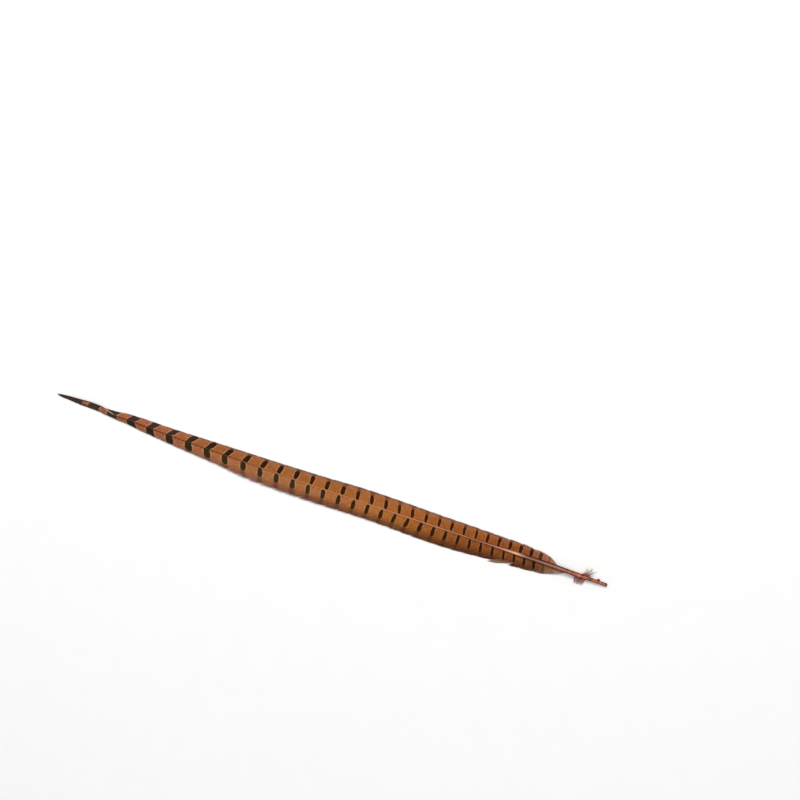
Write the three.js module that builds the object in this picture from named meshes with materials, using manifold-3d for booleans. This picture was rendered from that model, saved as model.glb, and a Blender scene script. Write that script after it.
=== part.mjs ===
// A pheasant's tail feather lying with its outer side up, as one solid: a tapered shaft, two thin vanes
// whose edges part into locks, and two small tufts of down on the bare quill. Millimetres, +Z up.
// X runs along the shaft, from the tip at -X to the cut end of the quill at +X. The broad vane is at -Y.
import * as THREE from 'three';
import { mergeVertices } from 'three/addons/utils/BufferGeometryUtils.js';
import Module from 'manifold-3d';

const wasm = await Module();
wasm.setup();

// Driving sizes. Each profile is a list of [distance from the tip, value].
const LENGTH = 511;
const SHAFT_WIDTH = [[0, 0.5], [60, 0.7], [150, 0.9], [300, 1.0], [370, 1.3], [430, 2.9], [462, 4.0],
  [482, 3.8], [497, 2.9], [LENGTH, 2.3]];
// Where the shaft's line bends sideways: it kinks near the tip, where the blade rolls over.
const SHAFT_SIDE = [[0, 0], [6, 0.8], [18, 1.75], [38, 2.35], [46, 0.8], [54, -1.1], [64, -1.4], [160, -2.5],
  [300, -1.5], [450, 0.6], [LENGTH, 0]];
const SHAFT_HEIGHT = [[0, 0.8], [30, 2.1], [60, 2.9], [150, 3.5], [300, 4.1], [420, 3.7], [470, 2.9],
  [LENGTH, 1.15]];

// Each vane's width across its own surface, how steeply it slopes down from the shaft, how deep the notches
// between its locks are, and where its first and last barbs leave the shaft. Near the tip the narrow vane is
// folded in under the broad one, and between 36 and 56 mm it swings out again.
const NARROW_VANE = {
  side: 1,
  width: [[0, 0.7], [14, 2.4], [40, 3.4], [54, 4.6], [70, 6.5], [100, 7.4], [150, 8.9], [200, 10.0],
    [250, 11.2], [290, 12.6], [350, 11.6], [410, 10.6], [445, 9.2], [467, 5.0]],
  slope: [[0, 150], [36, 145], [43, 88], [48, 55], [56, 34], [70, 27], [150, 23], [300, 19], [467, 20]],
  notch: [[0, 0.1], [60, 0.3], [200, 0.4], [400, 0.6], [467, 1.2]],
  roots: [3, 466],
};
const BROAD_VANE = {
  side: -1,
  width: [[0, 0.9], [10, 3.2], [40, 5.6], [54, 3.7], [80, 5.8], [110, 8.2], [150, 11.0], [175, 13.8],
    [200, 15.2], [240, 15.4], [300, 14.4], [358, 16.2], [408, 13.6], [445, 11.8], [459, 8.8], [470.5, 3.2]],
  slope: [[0, 15], [40, 18], [54, 30], [80, 24], [150, 13], [230, 12], [360, 14.8], [468, 18]],
  notch: [[0, 0.1], [60, 0.3], [150, 0.5], [200, 1.1], [270, 0.9], [330, 0.6], [430, 0.9], [470, 1.2]],
  roots: [2, 475],
};

// Barbs leave the shaft at a slant and curve towards the tip: their forward reach, per mm of width, in a
// straight and a curved share.
const SWEEP_STRAIGHT = 0.9;
const SWEEP_CURVED = 0.62;
const SAG = 0.45;               // the curved share of a vane's slope
const VANE_THICK_ROOT = 0.6;
const VANE_THICK_EDGE = 0.4;
const LOCKS = 40;               // on each vane
const BARB_ROWS = 4;            // faces from the shaft to the edge
const LOCK_PEAK = 0.35;         // where a lock's point lies between its two notches, from the tip's side

// One loose lock stands out of the broad vane, beyond a split.
const LOOSE_LOCK = 36;
const LOOSE_REACH = 1.2;
const SPLIT_DEPTH = 3.5;

const SHAFT_SIDES = 12;
const SHAFT_STEPS = 64;
const SHAFT_SQUARENESS = 0.75;  // 1 is an ellipse, and less is closer to a rounded box

// Tufts of down on the quill, as [distance from the tip, sideways, height] of their root and of the outer
// points round which they fan, turning the same way. The root spreads along the shaft by a share of theirs.
const TUFT_THICK = 0.7;
const UPPER_TUFT = {
  root: [492.2, 1, 2.2],
  tips: [[499.8, 6.8, 2.6], [499.2, 10, 3.4], [492, 9.6, 3.4], [487, 7.6, 2.4]],
  spread: 0.5,
};
const LOWER_TUFT = {
  root: [486.5, -1, 2.2],
  tips: [[481, -8.4, 0.5], [486, -9, 0.6], [491, -8, 0.9]],
  spread: 1.5,
};
// The stub of a lost barb near the cut end
const STUB = { at: 502.3, base: 5, reach: 3.1, flatness: 0.35, lean: 10 };

const COPPER = 0xa4673a;

// A smooth curve through a profile's points, and level beyond its ends
function valueAt(profile, s) {
  const last = profile.length - 1;
  if (s <= profile[0][0]) return profile[0][1];
  if (s >= profile[last][0]) return profile[last][1];
  const i = profile.findIndex(([at]) => at > s) - 1;
  const rise = (k) => {
    const before = profile[Math.max(k - 1, 0)];
    const after = profile[Math.min(k + 1, last)];
    return (after[1] - before[1]) / (after[0] - before[0]);
  };
  const [from, low] = profile[i];
  const [to, high] = profile[i + 1];
  const span = to - from;
  const u = (s - from) / span;
  const start = low + span * u * rise(i);
  const end = high - span * (1 - u) * rise(i + 1);
  const blend = u * u * (3 - 2 * u);
  return start * (1 - blend) + end * blend;
}

function shaftPoint(s) {
  return new THREE.Vector3(s - LENGTH / 2, valueAt(SHAFT_SIDE, s), valueAt(SHAFT_HEIGHT, s));
}

// A repeatable number from 0 to 1
function chance(n) {
  const v = Math.sin(n * 12.9898) * 43758.5453;
  return v - Math.floor(v);
}

// A closed solid from two grids of points, one for each face, joined round their rim
function closedSheet(columns, rows, pointAt, flipped) {
  const places = [];
  for (const face of [1, -1]) {
    for (let j = 0; j <= columns; j += 1) {
      for (let i = 0; i <= rows; i += 1) places.push(...pointAt(j, i, face).toArray());
    }
  }
  const far = (columns + 1) * (rows + 1);
  const at = (j, i) => j * (rows + 1) + i;
  const faces = [];
  const quad = (a, b, c, d) => faces.push(a, b, c, a, c, d);
  for (let j = 0; j < columns; j += 1) {
    for (let i = 0; i < rows; i += 1) {
      quad(at(j, i), at(j + 1, i), at(j + 1, i + 1), at(j, i + 1));
      quad(far + at(j, i), far + at(j, i + 1), far + at(j + 1, i + 1), far + at(j + 1, i));
    }
  }
  const rim = [];
  for (let j = 0; j < columns; j += 1) rim.push(at(j, 0));
  for (let i = 0; i < rows; i += 1) rim.push(at(columns, i));
  for (let j = columns; j > 0; j -= 1) rim.push(at(j, rows));
  for (let i = rows; i > 0; i -= 1) rim.push(at(0, i));
  rim.forEach((a, k) => {
    const b = rim[(k + 1) % rim.length];
    quad(b, a, far + a, far + b);
  });
  if (flipped) {
    for (let k = 0; k < faces.length; k += 3) [faces[k], faces[k + 1]] = [faces[k + 1], faces[k]];
  }
  return solidOf(new Float32Array(places), new Uint32Array(faces));
}

function solidOf(vertProperties, triVerts) {
  return new wasm.Manifold(new wasm.Mesh({ numProp: 3, vertProperties, triVerts }));
}

function solidFrom(geometry) {
  const bare = geometry.clone();
  bare.deleteAttribute('normal');
  bare.deleteAttribute('uv');
  const merged = mergeVertices(bare, 1e-4);
  return solidOf(new Float32Array(merged.attributes.position.array), new Uint32Array(merged.index.array));
}

// The shaft, of rounded box sections that follow its line, closed by its first and last sections
function shaft() {
  const section = (s, k) => {
    const turn = (2 * Math.PI * k) / SHAFT_SIDES;
    const round = (v) => Math.sign(v) * Math.abs(v) ** SHAFT_SQUARENESS;
    const radius = valueAt(SHAFT_WIDTH, s) / 2;
    const corner = new THREE.Vector3(0, round(Math.cos(turn)), round(Math.sin(turn)));
    return shaftPoint(s).addScaledVector(corner, radius);
  };
  const places = [];
  const faces = [];
  for (let j = 0; j <= SHAFT_STEPS; j += 1) {
    for (let k = 0; k < SHAFT_SIDES; k += 1) places.push(...section((LENGTH * j) / SHAFT_STEPS, k).toArray());
  }
  for (let j = 0; j < SHAFT_STEPS; j += 1) {
    for (let k = 0; k < SHAFT_SIDES; k += 1) {
      const a = j * SHAFT_SIDES + k;
      const b = j * SHAFT_SIDES + ((k + 1) % SHAFT_SIDES);
      faces.push(a, b, b + SHAFT_SIDES, a, b + SHAFT_SIDES, a + SHAFT_SIDES);
    }
  }
  const end = SHAFT_STEPS * SHAFT_SIDES;
  for (let k = 1; k < SHAFT_SIDES - 1; k += 1) {
    faces.push(0, k + 1, k);
    faces.push(end, end + k, end + k + 1);
  }
  return solidOf(new Float32Array(places), new Uint32Array(faces));
}

// How far along the feather a barb from this root ends, given how far out its width brings it there
function barbEnd(vane, root) {
  let end = root;
  for (let pass = 0; pass < 6; pass += 1) {
    end = Math.max(root - (SWEEP_STRAIGHT + SWEEP_CURVED) * valueAt(vane.width, end), 0.3 * root);
  }
  return end;
}

// A point of a vane: root is where its barb leaves the shaft, out runs from 0 there to 1 at the vane's edge,
// and off is how far it lies from the middle of the vane's thickness.
function vanePoint(vane, root, out, off) {
  const end = barbEnd(vane, root);
  const curved = (SWEEP_STRAIGHT * out + SWEEP_CURVED * out * out) / (SWEEP_STRAIGHT + SWEEP_CURVED);
  const s = root + (end - root) * curved;
  const line = shaftPoint(s);
  const width = valueAt(vane.width, end);
  const slope = THREE.MathUtils.degToRad(valueAt(vane.slope, s));
  const across = width * Math.cos(slope);
  const drop = Math.min(width * Math.sin(slope), line.z - VANE_THICK_EDGE / 2);
  const normal = new THREE.Vector2(drop * (1 - SAG + 2 * SAG * out), across).normalize();
  const height = Math.max(line.z - drop * ((1 - SAG) * out + SAG * out * out), VANE_THICK_EDGE / 2);
  return new THREE.Vector3(
    line.x,
    line.y + vane.side * (across * out + off * normal.x),
    height + off * normal.y,
  );
}

function vaneSolid(vane) {
  const [first, final] = vane.roots;
  const pitch = (final - first) / LOCKS;
  const pointAt = (j, i, face) => {
    const lock = Math.floor(j / 2);
    const peak = j % 2 === 1;
    const root = first + pitch * (lock + (peak ? LOCK_PEAK : 0));
    const loose = vane.side < 0 && lock === LOOSE_LOCK;
    const split = vane.side < 0 && !peak && lock === LOOSE_LOCK + 1;
    const depth = split ? SPLIT_DEPTH : valueAt(vane.notch, root) * (0.5 + chance(lock + 7 * vane.side));
    const whole = peak && loose ? LOOSE_REACH : 1;
    const reach = peak ? whole : 1 - Math.min(depth / valueAt(vane.width, barbEnd(vane, root)), 0.5);
    const part = i / BARB_ROWS;
    const thick = VANE_THICK_ROOT + (VANE_THICK_EDGE - VANE_THICK_ROOT) * part;
    return vanePoint(vane, root, part * reach, (face * thick) / 2);
  };
  return closedSheet(2 * LOCKS, BARB_ROWS, pointAt, vane.side < 0);
}

// A tuft of down: a thin fan from a short root on the shaft to its outer points
function tuft({ root, tips, spread }) {
  const place = ([s, y, z]) => new THREE.Vector3(s - LENGTH / 2, y, z);
  const pointAt = (j, i, face) => {
    const foot = place(root);
    foot.x += spread * (tips[j][0] - root[0]);
    const point = foot.lerp(place(tips[j]), i);
    point.z += (face * TUFT_THICK) / 2;
    return point;
  };
  return closedSheet(tips.length - 1, 1, pointAt, true);
}

function stub() {
  const cone = new THREE.ConeGeometry(STUB.base / 2, STUB.reach, 7);
  cone.scale(1, 1, STUB.flatness);
  cone.rotateZ(THREE.MathUtils.degToRad(-STUB.lean));
  const foot = shaftPoint(STUB.at);
  cone.translate(foot.x, foot.y + STUB.reach / 2, foot.z);
  return solidFrom(cone);
}

function feather() {
  const whole = [vaneSolid(NARROW_VANE), vaneSolid(BROAD_VANE), tuft(UPPER_TUFT), tuft(LOWER_TUFT), stub()]
    .reduce((joined, piece) => joined.add(piece), shaft());
  const { vertProperties, triVerts } = whole.getMesh();
  const geometry = new THREE.BufferGeometry();
  geometry.setAttribute('position', new THREE.BufferAttribute(vertProperties, 3));
  geometry.setIndex(new THREE.BufferAttribute(triVerts, 1));
  geometry.computeVertexNormals();
  // The origin lies on the surface under the middle of the feather.
  geometry.computeBoundingBox();
  const { min, max } = geometry.boundingBox;
  geometry.translate(-(min.x + max.x) / 2, -(min.y + max.y) / 2, -min.z);
  const mesh = new THREE.Mesh(geometry, new THREE.MeshStandardMaterial({
    color: COPPER, roughness: 0.65, metalness: 0, side: THREE.DoubleSide,
  }));
  mesh.name = 'feather';
  return mesh;
}

const model = new THREE.Group();
model.add(feather());

export default model;
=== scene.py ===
"""A barred pheasant feather on a pale surface, seen from above, made barb by barb round its CAD solid."""

import math
import random

import bpy
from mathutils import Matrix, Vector


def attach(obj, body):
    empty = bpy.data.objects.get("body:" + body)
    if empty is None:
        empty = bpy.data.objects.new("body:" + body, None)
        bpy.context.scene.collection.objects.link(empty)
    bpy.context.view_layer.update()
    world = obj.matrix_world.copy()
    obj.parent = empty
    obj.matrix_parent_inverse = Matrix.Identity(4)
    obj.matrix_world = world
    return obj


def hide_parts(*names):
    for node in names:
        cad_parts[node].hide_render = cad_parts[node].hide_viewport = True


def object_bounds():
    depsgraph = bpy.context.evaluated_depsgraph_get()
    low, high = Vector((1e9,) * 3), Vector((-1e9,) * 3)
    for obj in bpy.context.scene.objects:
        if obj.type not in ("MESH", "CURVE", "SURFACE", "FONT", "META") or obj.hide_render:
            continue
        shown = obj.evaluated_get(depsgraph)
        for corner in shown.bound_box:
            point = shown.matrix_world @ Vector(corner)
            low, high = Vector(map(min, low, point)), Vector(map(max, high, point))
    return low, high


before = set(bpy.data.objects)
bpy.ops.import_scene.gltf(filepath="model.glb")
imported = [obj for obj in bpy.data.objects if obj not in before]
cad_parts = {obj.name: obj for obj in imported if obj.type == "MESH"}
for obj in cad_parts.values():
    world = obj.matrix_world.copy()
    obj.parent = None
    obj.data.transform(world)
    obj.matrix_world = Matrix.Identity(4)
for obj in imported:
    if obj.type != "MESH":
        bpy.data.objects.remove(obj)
cad_low, cad_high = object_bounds()

# Lengths are in millimetres, as in the CAD source, and MM turns them into metres.
MM = 0.001

# The feather's form, which keeps within a millimetre or so of the solid's. Each profile is a list of
# [distance from the tip, value].
LENGTH = 511
SHAFT_WIDTH = [[0, 0.5], [60, 0.7], [150, 0.9], [300, 1.0], [370, 1.3], [430, 2.9], [462, 4.0], [482, 3.9],
               [497, 3.2], [LENGTH, 2.75]]
SHAFT_SIDE = [[0, 0], [6, 0.8], [18, 1.75], [38, 2.35], [46, 0.8], [54, -1.1], [64, -1.4], [160, -2.5],
              [300, -1.5], [450, 0.6], [475, 0.15], [LENGTH, 0]]
SHAFT_HEIGHT = [[0, 0.8], [30, 2.1], [60, 2.9], [150, 3.5], [300, 4.1], [420, 3.7], [470, 2.9],
                [LENGTH, 1.15]]
NARROW_VANE = {
    "side": 1,
    "seed": 3,
    "width": [[0, 0.7], [14, 2.4], [40, 3.4], [54, 4.6], [70, 6.3], [100, 7.1], [150, 8.8], [200, 10.0],
              [250, 11.4], [290, 12.6], [350, 11.6], [410, 10.6], [445, 9.2], [467, 5.0]],
    "slope": [[0, 150], [36, 145], [43, 88], [48, 62], [56, 34], [70, 27], [150, 23], [300, 19], [467, 20]],
    "notch": [[0, 0.1], [60, 0.3], [200, 0.4], [400, 0.6], [445, 1.1], [467, 2.4]],
    "roots": [3, 466],
    # How many bars lie between the tip and each point of the shaft, and their half width in gaps between bars
    "bars": [[-2.6, 0], [50.6, 3], [104.2, 6], [157.5, 9], [206.2, 12], [250.4, 15], [292.4, 18],
             [329.8, 21], [365.7, 24], [398.7, 27], [429.3, 30], [448, 32], [456, 33], [475, 35.5]],
    "bar_half_width": [[30, 0.28], [52, 0.28], [70, 0.215], [88, 0.19], [106, 0.17], [141, 0.162],
                       [175, 0.155], [207, 0.148], [250, 0.135], [290, 0.135], [330, 0.122], [377, 0.118],
                       [405, 0.136], [425, 0.155], [448, 0.19]],
    # How far the bars lean back towards the quill, per mm out from the shaft
    "lean": [[50, 0.3], [60, 0.7], [88, 0.75], [105, 0.85], [124, 0.68], [141, 0.64], [175, 0.4],
             [220, 0.08], [260, 0], [300, -0.2], [350, -0.08], [467, 0]],
    # Where along its own length a bar starts and stops, in mm from the shaft
    "bar_start": [[150, -1.5], [230, 0.1], [467, 0.3]],
    "bar_stop": [[118, 11], [146, 8.2], [175, 7.4], [193, 8.0], [228, 8.7], [260, 8.5], [300, 9.0],
                 [330, 8.5], [355, 8.2], [400, 8.7], [440, 8.4], [467, 7.0]],
    # How much the free ends of the barbs stray
    "frayed": [[0, 0.2], [150, 0.3], [400, 0.4], [440, 0.9], [467, 2.6]],
    # Past this share of its length a barb isn't hooked to its neighbours
    "free_from": [[0, 0.93], [430, 0.93], [467, 0.85]],
    # Colours between the bars, at the edge, and of the bars
    "ground": [(0, "7c4a34"), (60, "a65c46"), (95, "a4604a"), (130, "a05e38"), (150, "9c5c34"),
               (200, "a46638"), (244, "a06233"), (286, "ae6a37"), (324, "aa652f"), (360, "9a5823"),
               (394, "965423"), (430, "82401c"), (450, "92604e"), (458, "a87868"), (465, "bc968a")],
    "margin": [(0, "6c3c2c"), (60, "8c4c38"), (150, "7c4438"), (200, "643a2a"), (330, "5c3422"),
               (400, "6a3a22"), (440, "8e6252"), (455, "a87c70"), (465, "bc968a")],
    "black": [(0, "40302c"), (30, "443a30"), (60, "403234"), (100, "3a2e2a"), (150, "241a10"),
              (220, "2a1608"), (260, "361608"), (LENGTH, "3a1004")],
    # Where the edge's colour begins and is full, as shares of the width
    "margin_band": (0.84, 1.0),
    # How worn the barbs are near the edge, and how much painted shadow of the shaft darkens them beside it
    # near the quill
    "blush": 0.5,
    "shade_by_shaft": 0.1,
}
BROAD_VANE = {
    "side": -1,
    "seed": 8,
    "width": [[0, 0.9], [10, 3.2], [40, 5.6], [54, 3.7], [80, 5.8], [110, 7.9], [150, 10.8], [175, 13.8],
              [200, 14.8], [240, 15.1], [300, 14.4], [358, 16.2], [408, 13.6], [445, 11.8], [459, 8.8],
              [470.5, 3.2]],
    "slope": [[0, 15], [40, 18], [54, 30], [80, 24], [150, 13], [230, 12], [360, 14.8], [468, 18]],
    "notch": [[0, 0.1], [60, 0.3], [150, 0.5], [200, 1.1], [270, 0.9], [330, 0.6], [430, 0.9], [470, 1.2]],
    "roots": [2, 475],
    "bars": [[-2.6, 0], [34.8, 2], [50.6, 3], [104.6, 6], [156.7, 9], [204.9, 12], [248.6, 15],
             [290.1, 18], [327.2, 21], [362.4, 24], [394.4, 27], [424.7, 30], [452, 33], [460.5, 34],
             [475, 35.5]],
    "bar_half_width": [[30, 0.31], [52, 0.29], [70, 0.235], [88, 0.22], [106, 0.2], [141, 0.188],
                       [157, 0.172], [180, 0.146], [222, 0.16], [250, 0.134], [290, 0.137], [330, 0.142],
                       [365, 0.138], [395, 0.13], [426, 0.136], [446, 0.2]],
    "lean": [[38, -0.4], [50, 0.5], [60, 0.75], [72, 0.6], [88, 0.42], [105, 0.44], [140, 0.36],
             [190, 0.26], [250, 0.1], [290, 0], [325, -0.1], [360, 0], [405, 0.2], [435, 0.22], [467, 0.1]],
    "bar_start": [[150, -1.5], [230, 0.1], [467, 0.4]],
    "bar_stop": [[90, 9], [107, 7.4], [145, 7.6], [165, 7.8], [205, 8.6], [264, 9.0], [300, 9.5],
                 [360, 9.9], [395, 9.9], [430, 9.2], [467, 7.5]],
    "frayed": [[0, 0.2], [140, 0.4], [180, 0.9], [260, 0.9], [310, 0.4], [400, 0.4], [430, 0.7],
               [475, 1.2]],
    "free_from": [[140, 0.93], [180, 0.85], [260, 0.87], [300, 0.94], [440, 0.94], [475, 0.85]],
    # Its ground darkens towards the quill, partly in its own colour and partly with painted shade; near 448
    # mm it is mostly painted shadow.
    "ground": [(0, "7a4634"), (24, "a05c50"), (46, "a05c50"), (60, "a0602f"), (95, "9e603c"),
               (150, "aa7048"), (200, "aa7349"), (240, "b27549"), (283, "b47440"), (321, "ae6d34"),
               (357, "985626"), (390, "83481f"), (420, "784023"), (448, "582c1e"), (457, "8a5c4c"),
               (470, "b89488")],
    # Its edge is darker, partly in its own colour and partly with painted shade where the vane turns down at
    # its edge.
    "margin": [(0, "6c3c30"), (95, "a06a58"), (148, "98604e"), (200, "885646"), (240, "6c4230"),
               (283, "6a4430"), (321, "643c26"), (357, "50301c"), (420, "50281a"), (446, "5c3628"),
               (470, "b89488")],
    "black": [(0, "40302c"), (30, "443a30"), (60, "2e221c"), (150, "322818"), (220, "3a3020"),
              (277, "341f0a"), (340, "34190a"), (LENGTH, "260802")],
    "margin_band": (0.25, 1.05),
    "blush": 0,
    "shade_by_shaft": 0.26,
}
SWEEP_STRAIGHT = 0.9           # how far a barb leans towards the tip, in widths of the vane
SWEEP_CURVED = 0.62            # and how much further, because it curves
SAG = 0.45                     # the share of a barb's drop that comes from its bend
NEAREST_TIP = 0.3              # a barb reaches no nearer to the tip than this share of its root
LOCKS = 40                     # of each vane
LOOSE_LOCK = 36                # of the broad vane
LOOSE_REACH = 1.13             # how long its barbs are, as a share of the others'
SPLIT_DEPTH = 3.5              # of the gaps on both sides of it
LOWEST = 0.12                  # no barb's middle lies lower than this

# Barbs: flat-sided ribs, each with its fringe of hooked barbules, that lie over each other like tiles
BARB_PITCH = 0.44
BARB_PLACE = (0.4, 0.6)        # where a barb may stand within its pitch
BARB_STEPS = 13
BARB_OVERLAP = 1.35            # a barb's breadth, in gaps between barbs
BARB_BEND = 0.2                # how unevenly barbs bend aside, in gaps between them
RIB_HEIGHT = 0.09
RIB_DEPTH = 0.05
RIB_THINNING = 0.6             # of a rib along its barb, and again along its free end
TILE_TILT = 0.035
FREE_BREADTH = 0.3             # of a barb's free end, in gaps between barbs
WANDER = 0.4                   # how far a barb's free end strays
NOTCH_SHARE = 0.6              # of the solid's notches, because stray barbs half fill them
REACH_SPREAD = 0.018           # how uneven the barbs' lengths are, as a share of them
LOOSE_GATHER = 0.14            # how far the loose lock's barbs draw together at its point
LOCK_GATHER = 0.02             # and any other lock's

# The bake's picture holds each vane's upper face in four rows and its underside in four more.
BAKE_ROWS = 4
BAKE_ROW_REACH = 34            # a row's barbs start up to this far before it
BAKE_ROW_SPARE = 4             # and end at most this far past it
BAKE_ROW_GAP = 0.03            # at each side of a row, as a share of it
BAKE_EDGE = 0.002              # kept free at both ends of the picture
BAKE_ACROSS = 19

# The shaft, with the furrow under it and the hollow of its cut end
SHAFT_SIDES = 20
SHAFT_STEPS = 420
SHAFT_SQUARENESS = 0.75
GROOVE = 0.3                   # depth of the furrow along the underside, in half widths
GROOVE_ENDS = 462
GROOVE_FADE = 30
CROSSED_FROM = 60              # the bars cross the shaft, from here
CROSSED_UNTIL = 172            # to here
CROSSED_FADE = 20
CROSSED_SOFT = 0.05
HOLLOW_WALL = 0.72             # of the quill's half width
HOLLOW_TAPER = 0.8             # of the hollow's width at its bottom
HOLLOW_DEPTH = 5
HOLLOW_RIM = 0.6               # how much of the hollow's painted shade the rim takes
LIGHT_SIDE_SHIFT = 0.18             # of the pale ridge towards the broad vane, in half widths, so that the painted shade falls more on the narrow vane's side
# The ridge has the rachis's own pale colour with painted highlight on it. The glint at the twist (46-51 mm),
# the glint at 413-426 mm and the spots near 485 and 505 mm are painted highlights.
RIDGE_AND_HIGHLIGHT_COLOURS = [(0, "3a2318"), (43, "3a2318"), (46, "ecd8d0"), (51, "ecd8d0"), (54, "3c2824"),
                 (75, "3c2824"), (100, "6e3c22"), (130, "7c4626"), (160, "744a30"), (200, "c27a49"),
                 (235, "de925a"), (262, "d89660"), (290, "cf916a"), (320, "dca07c"), (350, "e2a184"),
                 (385, "ae785d"), (402, "ae7a60"), (413, "c69080"), (418, "e4aa98"), (426, "fabca2"),
                 (436, "8e6758"), (450, "926c5c"), (465, "a47a64"), (475, "925e4d"), (485, "c46c56"),
                 (495, "914c3c"), (505, "c0664a"), (LENGTH, "6a2c34")]
# The flanks' colours are painted shade of the round shaft, dark at its sides. At 420-427 mm they are lighter
# so that the painted highlight there spreads wider.
FLANK_SHADE_COLOURS = [(0, "2c1a12"), (100, "50301c"), (180, "54301c"), (240, "6c4228"), (300, "7a4a2c"),
                 (350, "663a22"), (400, "5c3222"), (412, "5a3020"), (420, "92604c"), (427, "a06a52"),
                 (435, "401c10"), (450, "3c180e"), (465, "4a2014"), (478, "46140a"), (490, "4a140a"),
                 (500, "52180c"), (LENGTH, "58201c")]

# Tufts of down on the quill. Points are [distance from the tip, sideways, height]. The barbs rise from a
# stretch of the quill and fan out to the tips, and on their way they draw together at the neck by the share
# in gather. Bunched barbs keep near the tips that are named.
UPPER_TUFT = {
    "side": 1,
    "seed": 21,
    "feet": [486, 494.5],
    "neck": [492, 4.2, 2.6],
    "gather": 0.9,
    "tips": [[489.2, 9.8, 2.6], [491.6, 8, 3.2], [493.8, 9.4, 3.4], [495.4, 10, 3.4], [498.9, 8.2, 3.2],
             [497.4, 5.8, 2.6]],
    "bunched": 0.85,
    "barbs": 30,
    "breadth": 0.34,
    "barbule": 0.28,
}
LOWER_TUFT = {
    "side": -1,
    "seed": 22,
    "feet": [480.5, 492],
    "neck": [486.5, -4.6, 1.4],
    "gather": 0.25,
    "tips": [[482, -7.6, 0.5], [486, -8, 0.6], [490, -7.3, 0.9]],
    "bunched": 0.2,
    "barbs": 36,
    "breadth": 0.28,
    "barbule": 0.9,
}
TUFT_STEPS = 9
TUFT_FEET = 0.42               # how far out on the quill's side, in its widths
TUFT_LENGTHS = (0.75, 1.04)    # of its barbs, as shares of the way to the tips
TUFT_STRAY = 0.25
TUFT_ARCH = 0.6
TUFT_FUZZ = 70                 # short hairs on the quill beside a tuft
FUZZ_BREADTH = 0.09
FUZZ_ALONG = (-0.9, 0.4)       # how far such a hair reaches along the quill
FUZZ_OUT = (0.4, 1.3)          # out from it
FUZZ_UP = (-0.5, 0.5)          # and up or down
NEARLY_UP = (0.02, 0.03, 1)    # so that an upright hair has sides too
BARBULE_BREADTH = 0.05
BARBULES = 18                  # on each side of a barb of down
BARBULE_LENGTHS = (0.6, 1.2)   # as shares of the tuft's
BARBULE_AHEAD = (0.6, 1.1)     # how far one leans along its barb
BARBULE_UP = (-0.3, 0.5)       # and up or down

# The stub of a lost barb near the cut end, a low thin wedge on the quill's side
STUB_AT = 502.3
STUB_BASE = 6.6
STUB_REACH = 3.0
STUB_THICK = 0.8
STUB_LEAN = 0.5
STUB_POINT = 0.12              # half its length at its point
STUB_STEPS = 6
STUB_SIDES = 8

# Markings. The widths of bars and rings are in gaps between bars, and places in mm from the tip.
BAR_SOFT = 0.03                # of a bar's edge
BAR_WAVER = 0.12               # how far a bar's edge wanders
BARB_WAVER = 0.035             # and how far it steps from barb to barb
BAR_TAPER = (0.9, 1.1)         # of a bar's width, at its start and its stop
RING_WIDTH = 0.085             # of the pale ring round a bar
TRAIL_SHARE = 0.5              # of the dark trail past a bar's stop
WORN_BARS = (446, 460)         # the bars fade here
WORN_DARK = 0.3                # to this share
TIP_DARK = 23.0                # the point is dark up to here
TIP_SOFT = 0.6                 # within this distance
TIP_EDGE_DARK = 39             # and its outer edge up to here
TIP_HEM = (0.64, 0.76)         # where that edge begins, as a share of the width

# Colours
FLECK = "c47c34"               # brighter streaks along the barbs
MOTTLE = "a85630"
RING_COLOURS = [(200, "d6a27c"), (300, "cf9464")]
SHOULDER = "ac7254"            # worn barbs near the edge
TRAIL = "4a2420"
LOOSE_END = "a08470"           # of the loose lock
BAR_DUST = "4a3420"            # paler clouds in the bars
UNDERSIDE = "8f7258"
UNDERSIDE_SHARE = 0.45
QUILL_HIGHLIGHT = "f09a72"                # painted highlight, in streaks along the bare quill
CROSSING = "3e2a1e"            # where bars cross the shaft
HOLLOW_SHADE = "3a1a1c"              # painted shade inside the cut end; the stub also takes part of this dark colour as its own
DOWN_ROOTS = ("702c1e", "9c5442")
DOWN_ENDS = "d09c90"
COPPER_SHINE = "d98a4a"
HORN_SHINE = "ffb890"
FLOOR_COLOURS = ("f7f7f6", "fafaf9")

# The photograph, and the camera that took it from straight above
PHOTO_PIXELS = 800
PHOTO_TIP = (57.8, 393.75)     # of the feather, in the photograph
PHOTO_QUILL = (606.7, 585.0)
LENS = 85
SENSOR = 36

# Light and floor, in metres. A lamp stands some way up the picture, aside to +X and high over the floor.
LAMPS = {
    "key": {"up": 1.8, "aside": 0.1, "high": 2.1, "size": 1.1, "watts": 51, "colour": (1.0, 0.985, 0.96)},
    "fill": {"up": -0.6, "aside": 0.4, "high": 2.6, "size": 2.6, "watts": 20, "colour": (0.93, 0.96, 1.0)},
}
SKY = (0.955, 0.965, 0.98, 1)
SKY_STRENGTH = 0.395
FLOOR_REACH = 4


def srgb(code):
    """A colour such as "a3643c" as the linear numbers that shaders take."""
    parts = [int(code[i:i + 2], 16) / 255 for i in (0, 2, 4)]
    return (*[c / 12.92 if c <= 0.04045 else ((c + 0.055) / 1.055) ** 2.4 for c in parts], 1)


def value_at(profile, s):
    """A smooth curve through a profile's points, level beyond its ends."""
    last = len(profile) - 1
    if s <= profile[0][0]:
        return profile[0][1]
    if s >= profile[last][0]:
        return profile[last][1]
    i = next(k for k, point in enumerate(profile) if point[0] > s) - 1

    def rise(k):
        before, after = profile[max(k - 1, 0)], profile[min(k + 1, last)]
        return (after[1] - before[1]) / (after[0] - before[0])

    (start, low), (stop, high) = profile[i], profile[i + 1]
    span = stop - start
    u = (s - start) / span
    blend = u * u * (3 - 2 * u)
    return (low + span * u * rise(i)) * (1 - blend) + (high - span * (1 - u) * rise(i + 1)) * blend


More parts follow.
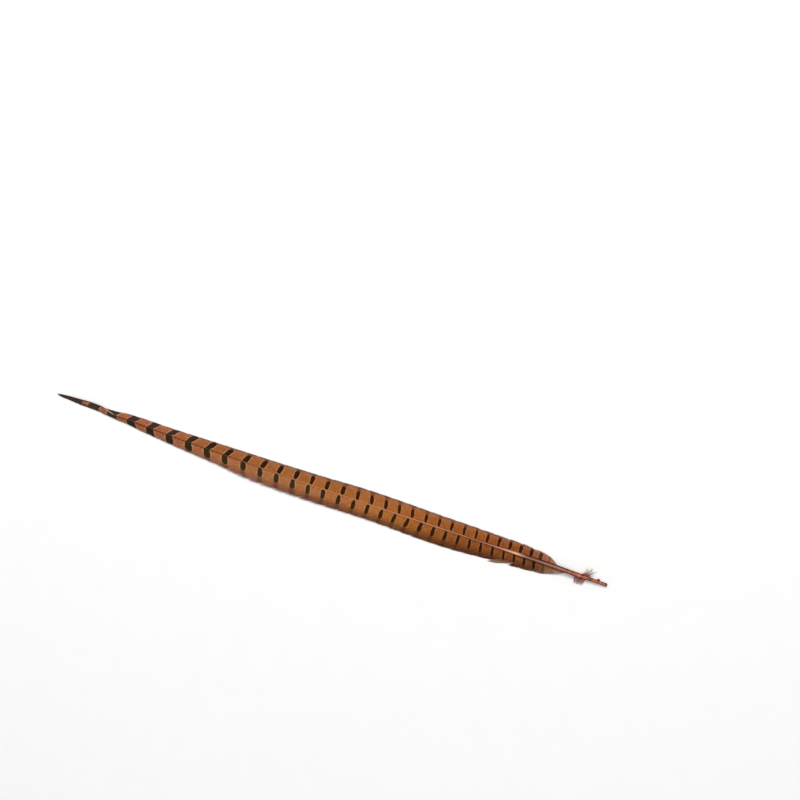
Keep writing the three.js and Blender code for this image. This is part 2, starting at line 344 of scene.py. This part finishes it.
def chance(n):
    """The CAD source's repeatable number from 0 to 1."""
    v = math.sin(n * 12.9898) * 43758.5453
    return v - math.floor(v)


def quill_end():
    """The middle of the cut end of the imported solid's quill, in metres."""
    solid = bpy.data.objects["feather"]
    end = [v.co for v in solid.data.vertices if v.co.x > cad_high[0] - 0.1 * MM]
    low = Vector([min(p[i] for p in end) for i in range(3)])
    high = Vector([max(p[i] for p in end) for i in range(3)])
    return (low + high) / 2


# What takes the form's own coordinates to the frame, in millimetres
SHIFT = quill_end() / MM - Vector((LENGTH, value_at(SHAFT_SIDE, LENGTH), value_at(SHAFT_HEIGHT, LENGTH)))


def shaft_point(s):
    """The middle of the shaft, in the frame's millimetres."""
    return Vector((s, value_at(SHAFT_SIDE, s), value_at(SHAFT_HEIGHT, s))) + SHIFT


def barb_end(vane, root):
    """How far along the feather a barb from this root ends."""
    end = root
    for _ in range(6):
        end = max(root - (SWEEP_STRAIGHT + SWEEP_CURVED) * value_at(vane["width"], end), NEAREST_TIP * root)
    return end


def barb_line(vane, root, shares):
    """A barb's middle line, as (point, distance from the tip, distance out from the shaft) at each share."""
    end = barb_end(vane, root)
    width = value_at(vane["width"], end)
    line = []
    for out in shares:
        curved = (SWEEP_STRAIGHT * out + SWEEP_CURVED * out * out) / (SWEEP_STRAIGHT + SWEEP_CURVED)
        s = root + (end - root) * curved
        point = shaft_point(s)
        slope = math.radians(value_at(vane["slope"], s))
        across = width * math.cos(slope)
        drop = min(width * math.sin(slope), point.z - LOWEST)
        point.y += vane["side"] * across * out
        point.z = max(point.z - drop * ((1 - SAG) * out + SAG * out * out), LOWEST)
        line.append((point, s, width * out))
    return line


class Mesh:
    """Gathers points, faces and named numbers for one object. Each face says whether it lies underneath."""

    def __init__(self):
        self.points = []
        self.faces = []
        self.numbers = {}
        self.places = []

    def ring(self, points, places, **numbers):
        """Adds a ring of points that share their numbers, and returns where it starts."""
        first = len(self.points)
        self.points += points
        for name, value in numbers.items():
            self.numbers.setdefault(name, []).extend([value] * len(points))
        self.places += places
        return first

    def join(self, a, b, count, under_from=None):
        """Faces between two rings. Those from the given side on lie underneath."""
        for k in range(count):
            n = (k + 1) % count
            under = under_from is not None and k >= under_from
            self.faces.append(((a + k, b + k, b + n, a + n), under))

    def cap(self, first, count, reverse=False):
        face = tuple(first + k for k in range(count))
        self.faces.append((face[::-1] if reverse else face, False))

    def turn_faces(self):
        self.faces = [(face[::-1], under) for face, under in self.faces]

    def object(self, name, material):
        mesh = bpy.data.meshes.new(name)
        mesh.from_pydata([p * MM for p in self.points], [], [face for face, _ in self.faces])
        for key, values in self.numbers.items():
            mesh.attributes.new(key, "FLOAT", "POINT").data.foreach_set("value", values)
        unders = [under for _, under in self.faces]
        mesh.attributes.new("under", "FLOAT", "FACE").data.foreach_set("value", unders)
        layer = mesh.uv_layers.new(name="OFBake")
        for polygon, under in zip(mesh.polygons, unders, strict=True):
            for index in polygon.loop_indices:
                u, v = self.places[mesh.loops[index].vertex_index]
                layer.data[index].uv = (u, (v + under) / 2)
        mesh.shade_smooth()
        mesh.materials.append(material)
        obj = bpy.data.objects.new(name, mesh)
        bpy.context.scene.collection.objects.link(obj)
        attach(obj, "root")
        return obj


def bake_place(row, s, across):
    """Where a point of a vane lies in its half of the bake's picture."""
    row_length = LENGTH / BAKE_ROWS
    u = (s - row * row_length + BAKE_ROW_REACH) / (row_length + BAKE_ROW_REACH + BAKE_ROW_SPARE)
    v = (row + BAKE_ROW_GAP + (1 - 2 * BAKE_ROW_GAP) * min(max(across / BAKE_ACROSS, 0), 1)) / BAKE_ROWS
    return (min(max(u, BAKE_EDGE), 1 - BAKE_EDGE), v)


def is_loose(vane, lock):
    """Whether this is the lock that stands out of the broad vane's edge."""
    return vane["side"] < 0 and lock == LOOSE_LOCK


def barb_reach(vane, root, lock, within):
    """How much of its full length a barb has. Barbs at a lock's sides are shorter, as in the solid."""
    width = value_at(vane["width"], barb_end(vane, root))
    depth = NOTCH_SHARE * value_at(vane["notch"], root) * (0.5 + chance(lock + 7 * vane["side"]))
    if vane["side"] < 0 and lock in (LOOSE_LOCK, LOOSE_LOCK + 1) and (within < 0) == (lock > LOOSE_LOCK):
        depth = SPLIT_DEPTH
    return (LOOSE_REACH if is_loose(vane, lock) else 1) - min(depth / width, 0.5) * abs(within) ** 3


def bar_span(vane, s, across):
    """Where a point lies along the bars' length: -1 at their start, 1 at their stop, and more beyond."""
    start, stop = value_at(vane["bar_start"], s), value_at(vane["bar_stop"], s)
    return 2 * (across - start) / (stop - start) - 1


def vane_mesh(vane):
    """All the barbs of a vane, each a row of four-sided rings from the shaft to its free end."""
    draw = random.Random(vane["seed"])
    mesh = Mesh()
    first, final = vane["roots"]
    count = round((final - first) / BARB_PITCH)
    pitch = (final - first) / count
    lock_pitch = (final - first) / LOCKS
    for n in range(count):
        root = first + pitch * (n + draw.uniform(*BARB_PLACE))
        lock = min(int((root - first) / lock_pitch), LOCKS - 1)
        within = 2 * ((root - first) / lock_pitch - lock) - 1
        frayed = value_at(vane["frayed"], barb_end(vane, root))
        free_from = value_at(vane["free_from"], root)
        reach = barb_reach(vane, root, lock, within) * (1 + REACH_SPREAD * frayed * draw.gauss(0, 1))
        loose = is_loose(vane, lock)
        gather = LOOSE_GATHER if loose else LOCK_GATHER
        stray = Vector((draw.gauss(0, 1), draw.gauss(0, 0.5), abs(draw.gauss(0, 0.4)))) * WANDER * frayed
        bend = draw.gauss(0, BARB_BEND)
        strand = draw.random()
        shares = [reach * k / BARB_STEPS for k in range(BARB_STEPS + 1)]
        line = barb_line(vane, root, shares)
        beside = barb_line(vane, root + pitch, shares)
        row = min(int(root * BAKE_ROWS / LENGTH), BAKE_ROWS - 1)
        rings = []
        for k, (point, s, across) in enumerate(line):
            out = shares[k]
            along = (line[min(k + 1, BARB_STEPS)][0] - line[max(k - 1, 0)][0]).normalized()
            lateral = beside[k][0] - point
            lateral -= along * lateral.dot(along)
            normal = along.cross(lateral).normalized() * -vane["side"]
            free = max((out / reach - free_from) / (1 - free_from), 0)
            breadth = BARB_OVERLAP + (FREE_BREADTH - BARB_OVERLAP) * free
            middle = point - lateral * (within * gather * lock_pitch / 2 / pitch * out ** 3)
            middle += lateral * bend * out ** 2
            middle += stray * free ** 1.6
            middle.z = max(middle.z, LOWEST)
            half = lateral * breadth / 2
            rib = (1 - RIB_THINNING * out) * (1 - RIB_THINNING * free)
            tilt = normal * TILE_TILT * (1 - free)
            rings.append(mesh.ring(
                [middle - half + tilt, middle + normal * RIB_HEIGHT * rib, middle + half - tilt,
                 middle - normal * RIB_DEPTH * rib],
                [bake_place(row, s + 0.5 * place * BARB_OVERLAP * pitch, across) for place in (-1, 0, 1, 0)],
                along=s, strand=strand,
                edge=min(across / value_at(vane["width"], s), 1.2),
                bar_count=value_at(vane["bars"], s - value_at(vane["lean"], s) * across),
                bar_span=bar_span(vane, s, across),
                bar_half=value_at(vane["bar_half_width"], s),
                streak=root, loose=float(loose),
            ))
        for a, b in zip(rings, rings[1:]):
            mesh.join(a, b, 4, under_from=2)
        mesh.cap(rings[0], 4, reverse=True)
        mesh.cap(rings[-1], 4)
    if vane["side"] > 0:
        mesh.turn_faces()
    return mesh


def shaft_mesh():
    """The shaft, from its fine tip to the cut and hollow end of the quill."""
    mesh = Mesh()
    rings = [shaft_ring(mesh, LENGTH * k / SHAFT_STEPS, 1, 0) for k in range(SHAFT_STEPS + 1)]
    rings.append(shaft_ring(mesh, LENGTH, HOLLOW_WALL, HOLLOW_RIM))
    rings.append(shaft_ring(mesh, LENGTH - HOLLOW_DEPTH, HOLLOW_WALL * HOLLOW_TAPER, 1))
    for a, b in zip(rings, rings[1:]):
        mesh.join(a, b, SHAFT_SIDES, under_from=SHAFT_SIDES // 2)
    mesh.cap(rings[0], SHAFT_SIDES)
    mesh.cap(rings[-1], SHAFT_SIDES, reverse=True)
    mesh.turn_faces()
    return mesh


def bar_crossing(s):
    """How dark the shaft is where the bars cross it, near the tip."""
    away = abs((value_at(BROAD_VANE["bars"], s) + 0.5) % 1 - 0.5)
    dark = min(max((value_at(BROAD_VANE["bar_half_width"], s) - away) / CROSSED_SOFT + 0.5, 0), 1)
    return dark * min(max((CROSSED_UNTIL - s) / CROSSED_FADE, 0), 1) * (s > CROSSED_FROM)


def shaft_ring(mesh, s, scale, inside):
    """Adds one ring of the shaft's points. Inside says how far in the hollow quill it lies, and so how much
    painted shade it takes.
    """
    radius = value_at(SHAFT_WIDTH, s) / 2 * scale
    middle = shaft_point(s)
    furrow = GROOVE * min(max((GROOVE_ENDS - s) / GROOVE_FADE, 0), 1) * (1 - inside)
    points, places, flanks = [], [], []
    row = min(int(s * BAKE_ROWS / (LENGTH + 1)), BAKE_ROWS - 1)
    for k in range(SHAFT_SIDES):
        turn = 2 * math.pi * k / SHAFT_SIDES
        y, z = (math.copysign(abs(v) ** SHAFT_SQUARENESS, v) for v in (math.cos(turn), math.sin(turn)))
        if z < 0:
            z += furrow * max(1 - (2 * abs(y)) ** 2, 0)
        point = middle + Vector((0, y, z)) * radius
        point.z = max(point.z, 0)
        points.append(point)
        places.append(bake_place(row, s, (0.5 + 0.45 * math.cos(turn)) * BAKE_ACROSS))
        flanks.append(y)
    start = mesh.ring(points, places, along=s, inside=inside, crossed=bar_crossing(s))
    mesh.numbers.setdefault("flank", []).extend(flanks)
    return start


def hair(mesh, points, breadth, strand, out_from=0.0, taper=0.3):
    """A fine three-sided hair along a line of points."""
    rings = []
    last = len(points) - 1
    for k, point in enumerate(points):
        ahead = (points[min(k + 1, last)] - points[max(k - 1, 0)]).normalized()
        across = ahead.cross(Vector(NEARLY_UP)).normalized()
        above = across.cross(ahead)
        radius = breadth / 2 * (1 - (1 - taper) * k / last)
        corners = []
        for turn in (0, 2 * math.pi / 3, 4 * math.pi / 3):
            corners.append(point + (across * math.cos(turn) + above * math.sin(turn)) * radius)
        place = (0.02 + 0.96 * strand, 0.05 + 0.9 * k / last)
        rings.append(mesh.ring(corners, [place] * 3, strand=strand, out=out_from + (1 - out_from) * k / last))
    for a, b in zip(rings, rings[1:]):
        mesh.join(a, b, 3)
    mesh.cap(rings[0], 3, reverse=True)
    mesh.cap(rings[-1], 3)


def down_barb(mesh, draw, foot, neck, tip, breadth, barbule):
    """One barb of down, bent at the neck, with its soft barbules on both sides."""
    strand = draw.random()
    line = []
    for k in range(TUFT_STEPS + 1):
        u = k / TUFT_STEPS
        point = foot.lerp(neck, u).lerp(neck.lerp(tip, u), u)
        point.z = max(point.z + TUFT_ARCH * math.sin(math.pi * u) * (strand - 0.3), LOWEST)
        line.append(point)
    hair(mesh, line, breadth, strand)
    for n in range(BARBULES):
        u = 0.1 + 0.88 * n / BARBULES
        at = u * TUFT_STEPS
        k = min(int(at), TUFT_STEPS - 1)
        start = line[k].lerp(line[k + 1], at - k)
        ahead = (line[k + 1] - line[k]).normalized()
        across = ahead.cross(Vector((0, 0, 1))).normalized()
        for turn in (-1, 1):
            length = barbule * draw.uniform(*BARBULE_LENGTHS) * (1.1 - 0.6 * u)
            way = ahead * draw.uniform(*BARBULE_AHEAD) + across * turn
            way += Vector((0, 0, draw.uniform(*BARBULE_UP)))
            middle = start + way.normalized() * length * 0.5
            end = start + way.normalized() * length + ahead * length * 0.25
            points = [start, middle, end]
            for point in points:
                point.z = max(point.z, LOWEST / 2)
            hair(mesh, points, BARBULE_BREADTH, strand, u * 0.8, 0.5)


def quill_side(s, side):
    """A point on the quill's flank."""
    return shaft_point(s) + Vector((0, side * value_at(SHAFT_WIDTH, s) * TUFT_FEET, 0))


def tuft_mesh(tuft):
    """The barbs of a tuft of down, and the short hairs on the quill beside it."""
    draw = random.Random(tuft["seed"])
    mesh = Mesh()
    tips, (first, final), side = tuft["tips"], tuft["feet"], tuft["side"]
    neck = Vector(tuft["neck"]) + SHIFT
    for n in range(tuft["barbs"]):
        share = (n + draw.uniform(0, 1)) / tuft["barbs"]
        at = share * (len(tips) - 1)
        at += (round(at) - at) * tuft["bunched"]
        k = min(int(at), len(tips) - 2)
        tip = Vector(tips[k]).lerp(Vector(tips[k + 1]), at - k) + SHIFT
        foot = quill_side(first + (final - first) * share, side)
        tip = foot.lerp(tip, draw.uniform(*TUFT_LENGTHS))
        tip += Vector([draw.gauss(0, TUFT_STRAY) for _ in range(3)])
        bend = ((foot + tip) / 2).lerp(neck, tuft["gather"] * draw.uniform(0.7, 1))
        down_barb(mesh, draw, foot, bend, tip, tuft["breadth"], tuft["barbule"])
    for _ in range(TUFT_FUZZ):
        foot = quill_side(draw.uniform(first - 3, final + 2), side)
        reach = Vector((draw.uniform(*FUZZ_ALONG), side * draw.uniform(*FUZZ_OUT), draw.uniform(*FUZZ_UP)))
        hair(mesh, [foot, foot + reach * 0.6, foot + reach], FUZZ_BREADTH, draw.random() * 0.5)
    return mesh


def stub_mesh():
    """The stub, as flat rings that shrink towards its point."""
    mesh = Mesh()
    foot = shaft_point(STUB_AT)
    rings = []
    for k in range(STUB_STEPS + 1):
        u = k / STUB_STEPS
        half = STUB_BASE / 2 * (1 - u) ** 0.9 + STUB_POINT
        thick = STUB_THICK / 2 * (1 - 0.8 * u)
        middle = foot + Vector((STUB_LEAN * u, STUB_REACH * u, 0.3 * u))
        points = []
        for n in range(STUB_SIDES):
            turn = 2 * math.pi * n / STUB_SIDES
            points.append(middle + Vector((half * math.cos(turn), 0, thick * math.sin(turn))))
        rings.append(mesh.ring(points, [(0.1 + 0.1 * n, u) for n in range(STUB_SIDES)],
                               along=STUB_AT, inside=0.55, crossed=0, flank=1))
    for a, b in zip(rings, rings[1:]):
        mesh.join(a, b, STUB_SIDES)
    mesh.cap(rings[0], STUB_SIDES, reverse=True)
    mesh.cap(rings[-1], STUB_SIDES)
    return mesh


class Nodes:
    """Short calls for the shader nodes of one material."""

    def __init__(self, name):
        self.material = bpy.data.materials.new(name)
        self.material.use_nodes = True
        self.tree = self.material.node_tree
        self.shader = next(n for n in self.tree.nodes if n.type == "BSDF_PRINCIPLED")

    def put(self, socket, value):
        if isinstance(value, bpy.types.NodeSocket):
            self.tree.links.new(value, socket)
        else:
            socket.default_value = value

    def number(self, name):
        node = self.tree.nodes.new("ShaderNodeAttribute")
        node.attribute_name = name
        return node.outputs["Fac"]

    def math(self, operation, *values):
        node = self.tree.nodes.new("ShaderNodeMath")
        node.operation = operation
        for socket, value in zip(node.inputs, values):
            self.put(socket, value)
        return node.outputs[0]

    def plus(self, a, b):
        return self.math("ADD", a, b)

    def minus(self, a, b):
        return self.math("SUBTRACT", a, b)

    def times(self, a, b):
        return self.math("MULTIPLY", a, b)

    def spread(self, value, low, high, to_low=0.0, to_high=1.0, smooth=False):
        node = self.tree.nodes.new("ShaderNodeMapRange")
        node.interpolation_type = "SMOOTHSTEP" if smooth else "LINEAR"
        for socket, number in zip(node.inputs, (value, low, high, to_low, to_high)):
            self.put(socket, number)
        return node.outputs[0]

    def mix(self, share, under, over, kind="MIX"):
        node = self.tree.nodes.new("ShaderNodeMix")
        node.data_type = "RGBA"
        node.blend_type = kind
        for socket, value in zip((node.inputs[0], node.inputs[6], node.inputs[7]), (share, under, over)):
            self.put(socket, value)
        return node.outputs[2]

    def ramp(self, value, stops):
        """Colours along the feather, as (distance from the tip, colour)."""
        node = self.tree.nodes.new("ShaderNodeValToRGB")
        elements = node.color_ramp.elements
        while len(elements) < len(stops):
            elements.new(0.5)
        for element, (at, colour) in zip(elements, stops):
            element.position = at / LENGTH
            element.color = srgb(colour)
        self.put(node.inputs[0], self.math("DIVIDE", value, LENGTH))
        return node.outputs[0]

    def noise(self, vector, scale, detail=2.0):
        node = self.tree.nodes.new("ShaderNodeTexNoise")
        node.inputs["Scale"].default_value = scale
        node.inputs["Detail"].default_value = detail
        self.put(node.inputs["Vector"], vector)
        return node.outputs["Fac"]

    def vector(self, *values):
        node = self.tree.nodes.new("ShaderNodeCombineXYZ")
        for socket, value in zip(node.inputs, values):
            self.put(socket, value)
        return node.outputs[0]

    def bump(self, height, strength, distance):
        node = self.tree.nodes.new("ShaderNodeBump")
        node.inputs["Strength"].default_value = strength
        node.inputs["Distance"].default_value = distance
        self.put(node.inputs["Height"], height)
        return node.outputs[0]

    def finish(self, colour, roughness, normal=None, **constants):
        self.put(self.shader.inputs["Base Color"], colour)
        self.put(self.shader.inputs["Roughness"], roughness)
        if normal is not None:
            self.put(self.shader.inputs["Normal"], normal)
        for name, value in constants.items():
            self.shader.inputs[name.replace("_", " ")].default_value = value
        return self.material


def vane_material(name, vane):
    """Copper barbs with dark bars, each in a thin pale ring, and a darker margin, on the broad vane partly
    painted shade. The underside is paler. Painted sheen varies the barbs' brightness, and painted shadow of
    the shaft darkens them beside it.
    """
    n = Nodes(name)
    along, strand, streak = n.number("along"), n.number("strand"), n.number("streak")
    edge, span = n.number("edge"), n.number("bar_span")
    cloud = n.noise(n.vector(n.times(along, 0.25), n.times(edge, 3.0), 0.0), 1.0, 3.0)
    flecks = n.noise(n.vector(n.times(streak, 0.9), n.times(edge, 4.5), 7.0), 1.0, 3.0)
    count = n.plus(n.number("bar_count"), n.times(n.minus(cloud, 0.5), BAR_WAVER))
    count = n.plus(count, n.times(n.minus(strand, 0.5), BARB_WAVER))
    away = n.math("ABSOLUTE", n.minus(n.math("FRACT", n.plus(count, 0.5)), 0.5))

    # A bar is an upright shape with rounded ends: its half width narrows near its start and stop.
    half = n.times(n.number("bar_half"), n.spread(span, -1.0, 1.0, *BAR_TAPER))
    ends = n.math("POWER", n.math("ABSOLUTE", span), 4.0)
    room = n.math("SQRT", n.math("MAXIMUM", n.minus(1.0, ends), 0.0))
    inside = n.minus(n.times(half, room), away)
    dark = n.spread(inside, -BAR_SOFT / 2, BAR_SOFT / 2, smooth=True)
    point = n.spread(along, TIP_DARK - TIP_SOFT, TIP_DARK + TIP_SOFT, 1.0, 0.0)
    hem = n.times(n.spread(along, TIP_EDGE_DARK - 1, TIP_EDGE_DARK + 1, 1.0, 0.0), n.spread(edge, *TIP_HEM))
    dark = n.times(dark, n.spread(along, *WORN_BARS, 1.0, WORN_DARK))
    dark = n.math("MAXIMUM", dark, n.math("MAXIMUM", point, hem))
    ring = n.times(n.spread(inside, -RING_WIDTH, -0.01, smooth=True),
                   n.spread(n.math("ABSOLUTE", span), 1.0, 1.15, 1.0, 0.0))
    ring = n.times(ring, n.spread(along, 200, 320, 0.6, 0.4))

    base = n.ramp(along, vane["ground"])
    base = n.mix(n.spread(flecks, 0.35, 0.75, 0.0, 0.45, smooth=True), base, srgb(FLECK))
    mottle = n.noise(n.vector(n.times(along, 0.45), n.times(edge, 5.0), 3.0), 1.0, 4.0)
    base = n.mix(n.spread(mottle, 0.42, 0.68, 0.0, 0.4, smooth=True), base, srgb(MOTTLE))
    pale = n.mix(ring, base, n.ramp(along, RING_COLOURS))
    shoulder = n.times(n.spread(edge, 0.45, 0.8, smooth=True), vane["blush"])
    rim = n.spread(edge, *vane["margin_band"], smooth=True)
    tone = n.mix(rim, n.mix(shoulder, pale, srgb(SHOULDER)), n.ramp(along, vane["margin"]))
    trail = n.spread(n.minus(half, away), -0.05, 0.05, smooth=True)
    trail = n.times(n.times(trail, n.spread(span, 0.8, 1.1)), TRAIL_SHARE)
    tone = n.mix(trail, tone, srgb(TRAIL))
    worn = n.times(n.number("loose"), n.spread(edge, 0.68, 0.98, 0.0, 0.8))
    tone = n.mix(worn, tone, srgb(LOOSE_END))
    tone = n.mix(dark, tone, n.mix(n.times(cloud, 0.25), n.ramp(along, vane["black"]), srgb(BAR_DUST)))
    # The barbs' brightness varies partly with their own uneven tone and partly with painted sheen.
    lit = n.plus(n.spread(strand, 0.0, 1.0, 0.86, 1.12), n.times(cloud, 0.08))
    lit = n.times(lit, n.spread(flecks, 0.3, 0.7, 0.88, 1.1))
    lit = n.plus(lit, n.spread(mottle, 0.35, 0.65, 0.05, -0.07))
    # Painted shadow of the shaft on the barbs beside it, towards the quill.
    beside = n.times(n.spread(edge, 0.04, 0.16, vane["shade_by_shaft"], 0.0), n.spread(along, 310, 370))
    lit = n.minus(lit, beside)
    tone = n.mix(1.0, tone, n.vector(lit, lit, lit), "MULTIPLY")
    colour = n.mix(n.times(n.number("under"), UNDERSIDE_SHARE), tone, srgb(UNDERSIDE))
    fine = n.noise(n.vector(n.times(along, 6.0), n.times(strand, 50.0), edge), 1.0, 2.0)
    return n.finish(colour, n.spread(dark, 0, 1, 0.55, 0.5), n.bump(fine, 0.25, 0.00005),
                    Specular_IOR_Level=0.16, Specular_Tint=srgb(COPPER_SHINE))


def shaft_material():
    """Dark towards the tip, pale along its ridge where it thickens, and red-brown horn on the quill. Painted
    shade darkens its flanks, underside and hollow, and painted highlights lie on its ridge and bare quill.
    """
    n = Nodes("shaft_horn")
    along = n.number("along")
    # The pale ridge lies off the middle, so that the painted shade falls more on the narrow vane's side.
    light_side_shift = n.times(n.spread(along, 300, 360, 0.0, LIGHT_SIDE_SHIFT), n.spread(along, 450, 472, 1.0, 0.0))
    flank = n.math("ABSOLUTE", n.plus(n.number("flank"), light_side_shift))
    ridge, side = n.ramp(along, RIDGE_AND_HIGHLIGHT_COLOURS), n.ramp(along, FLANK_SHADE_COLOURS)
    # Painted shade: the flanks take the flank colours, and so does much of the underside.
    under_shade = n.times(n.number("under"), 0.6)
    flank_shade = n.spread(flank, 0.2, n.spread(along, 440, 475, 0.8, 0.68), smooth=True)
    base = n.mix(n.math("MAXIMUM", flank_shade, under_shade), ridge, side)
    streak = n.noise(n.vector(n.times(along, 0.35), n.times(flank, 1.5), 0.0), 1.0, 3.0)
    uneven = n.spread(streak, 0.35, 0.65, 0.86, 1.12)
    base = n.mix(1.0, base, n.vector(uneven, uneven, uneven), "MULTIPLY")
    # Painted highlight in streaks along the bare quill.
    bare = n.spread(along, 470, 486)
    quill_highlight = n.times(n.spread(streak, 0.48, 0.68, smooth=True), bare)
    colour = n.mix(n.times(quill_highlight, 0.8), base, srgb(QUILL_HIGHLIGHT))
    colour = n.mix(n.number("crossed"), colour, srgb(CROSSING))
    # Painted shade inside the hollow of the cut end. The stub takes part of this dark colour too.
    colour = n.mix(n.number("inside"), colour, srgb(HOLLOW_SHADE))
    return n.finish(colour, 0.42, n.bump(streak, 0.3, 0.0002), Specular_IOR_Level=0.2,
                    Specular_Tint=srgb(HORN_SHINE))


def down_material():
    """Red-brown at the barbs' roots and pale at their ends."""
    n = Nodes("down")
    colour = n.mix(n.number("strand"), *(srgb(code) for code in DOWN_ROOTS))
    colour = n.mix(n.times(n.number("out"), 0.85), colour, srgb(DOWN_ENDS))
    return n.finish(colour, 0.7, Specular_IOR_Level=0.15, Specular_Tint=srgb(COPPER_SHINE))


def make_feather():
    narrow, broad = vane_material("narrow_vane", NARROW_VANE), vane_material("broad_vane", BROAD_VANE)
    horn, soft = shaft_material(), down_material()
    pieces = [
        (vane_mesh(NARROW_VANE), "narrow_vane", narrow, "vane"),
        (vane_mesh(BROAD_VANE), "broad_vane", broad, "vane"),
        (shaft_mesh(), "shaft", horn, "shaft"),
        (stub_mesh(), "barb_stub", horn, "shaft"),
        (tuft_mesh(UPPER_TUFT), "upper_tuft", soft, "vane"),
        (tuft_mesh(LOWER_TUFT), "lower_tuft", soft, "vane"),
    ]
    for mesh, name, material, slot in pieces:
        piece = mesh.object(name, material)
        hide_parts("feather")


def make_floor():
    n = Nodes("pale_floor")
    grain = n.noise(n.tree.nodes.new("ShaderNodeTexCoord").outputs["Object"], 40.0)
    material = n.finish(n.mix(grain, *(srgb(code) for code in FLOOR_COLOURS)), 0.7, Specular_IOR_Level=0.2)
    corners = [(x * FLOOR_REACH, y * FLOOR_REACH, 0) for x, y in ((-1, -1), (1, -1), (1, 1), (-1, 1))]
    mesh = bpy.data.meshes.new("floor")
    mesh.from_pydata(corners, [], [(0, 1, 2, 3)])
    mesh.materials.append(material)
    floor = bpy.data.objects.new("floor", mesh)
    bpy.context.scene.collection.objects.link(floor)


def photo_frame():
    """The photograph's centre on the floor, its size there and its turn, from the feather's two ends."""
    across = PHOTO_QUILL[0] - PHOTO_TIP[0]
    down = PHOTO_QUILL[1] - PHOTO_TIP[1]
    pixels = math.hypot(across, down)
    turn = math.atan2(down, across)
    scale = LENGTH * MM / pixels
    right = Vector((math.cos(turn), math.sin(turn), 0))
    up = Vector((-math.sin(turn), math.cos(turn), 0))
    tip = shaft_point(0) * MM
    tip.z = 0
    middle = PHOTO_PIXELS / 2
    centre = tip + right * (middle - PHOTO_TIP[0]) * scale + up * (PHOTO_TIP[1] - middle) * scale
    return centre, PHOTO_PIXELS * scale, turn


def make_camera():
    centre, breadth, turn = photo_frame()
    data = bpy.data.cameras.new("camera")
    data.lens = LENS
    data.sensor_width = SENSOR
    camera = bpy.data.objects.new("camera", data)
    camera.location = centre + Vector((0, 0, breadth * LENS / SENSOR))
    camera.rotation_euler = (0, 0, turn)
    data.clip_start = 0.01
    data.clip_end = 50
    bpy.context.scene.collection.objects.link(camera)
    bpy.context.scene.camera = camera


def area_light(name, lamp, up):
    place = up * lamp["up"] + Vector((lamp["aside"], 0, lamp["high"]))
    data = bpy.data.lights.new(name, "AREA")
    data.shape = "DISK"
    data.size = lamp["size"]
    data.energy = lamp["watts"]
    data.color = lamp["colour"]
    light = bpy.data.objects.new(name, data)
    light.location = place
    light.rotation_euler = (-place).to_track_quat("-Z", "Y").to_euler()
    bpy.context.scene.collection.objects.link(light)


def make_lights():
    _, _, turn = photo_frame()
    up = Vector((-math.sin(turn), math.cos(turn), 0))
    for name, lamp in LAMPS.items():
        area_light(name, lamp, up)
    world = bpy.data.worlds.new("studio")
    world.use_nodes = True
    world.node_tree.nodes["Background"].inputs["Color"].default_value = SKY
    world.node_tree.nodes["Background"].inputs["Strength"].default_value = SKY_STRENGTH
    bpy.context.scene.world = world
    bpy.context.scene.view_settings.view_transform = "Standard"


make_camera()
make_feather()
make_floor()
make_lights()
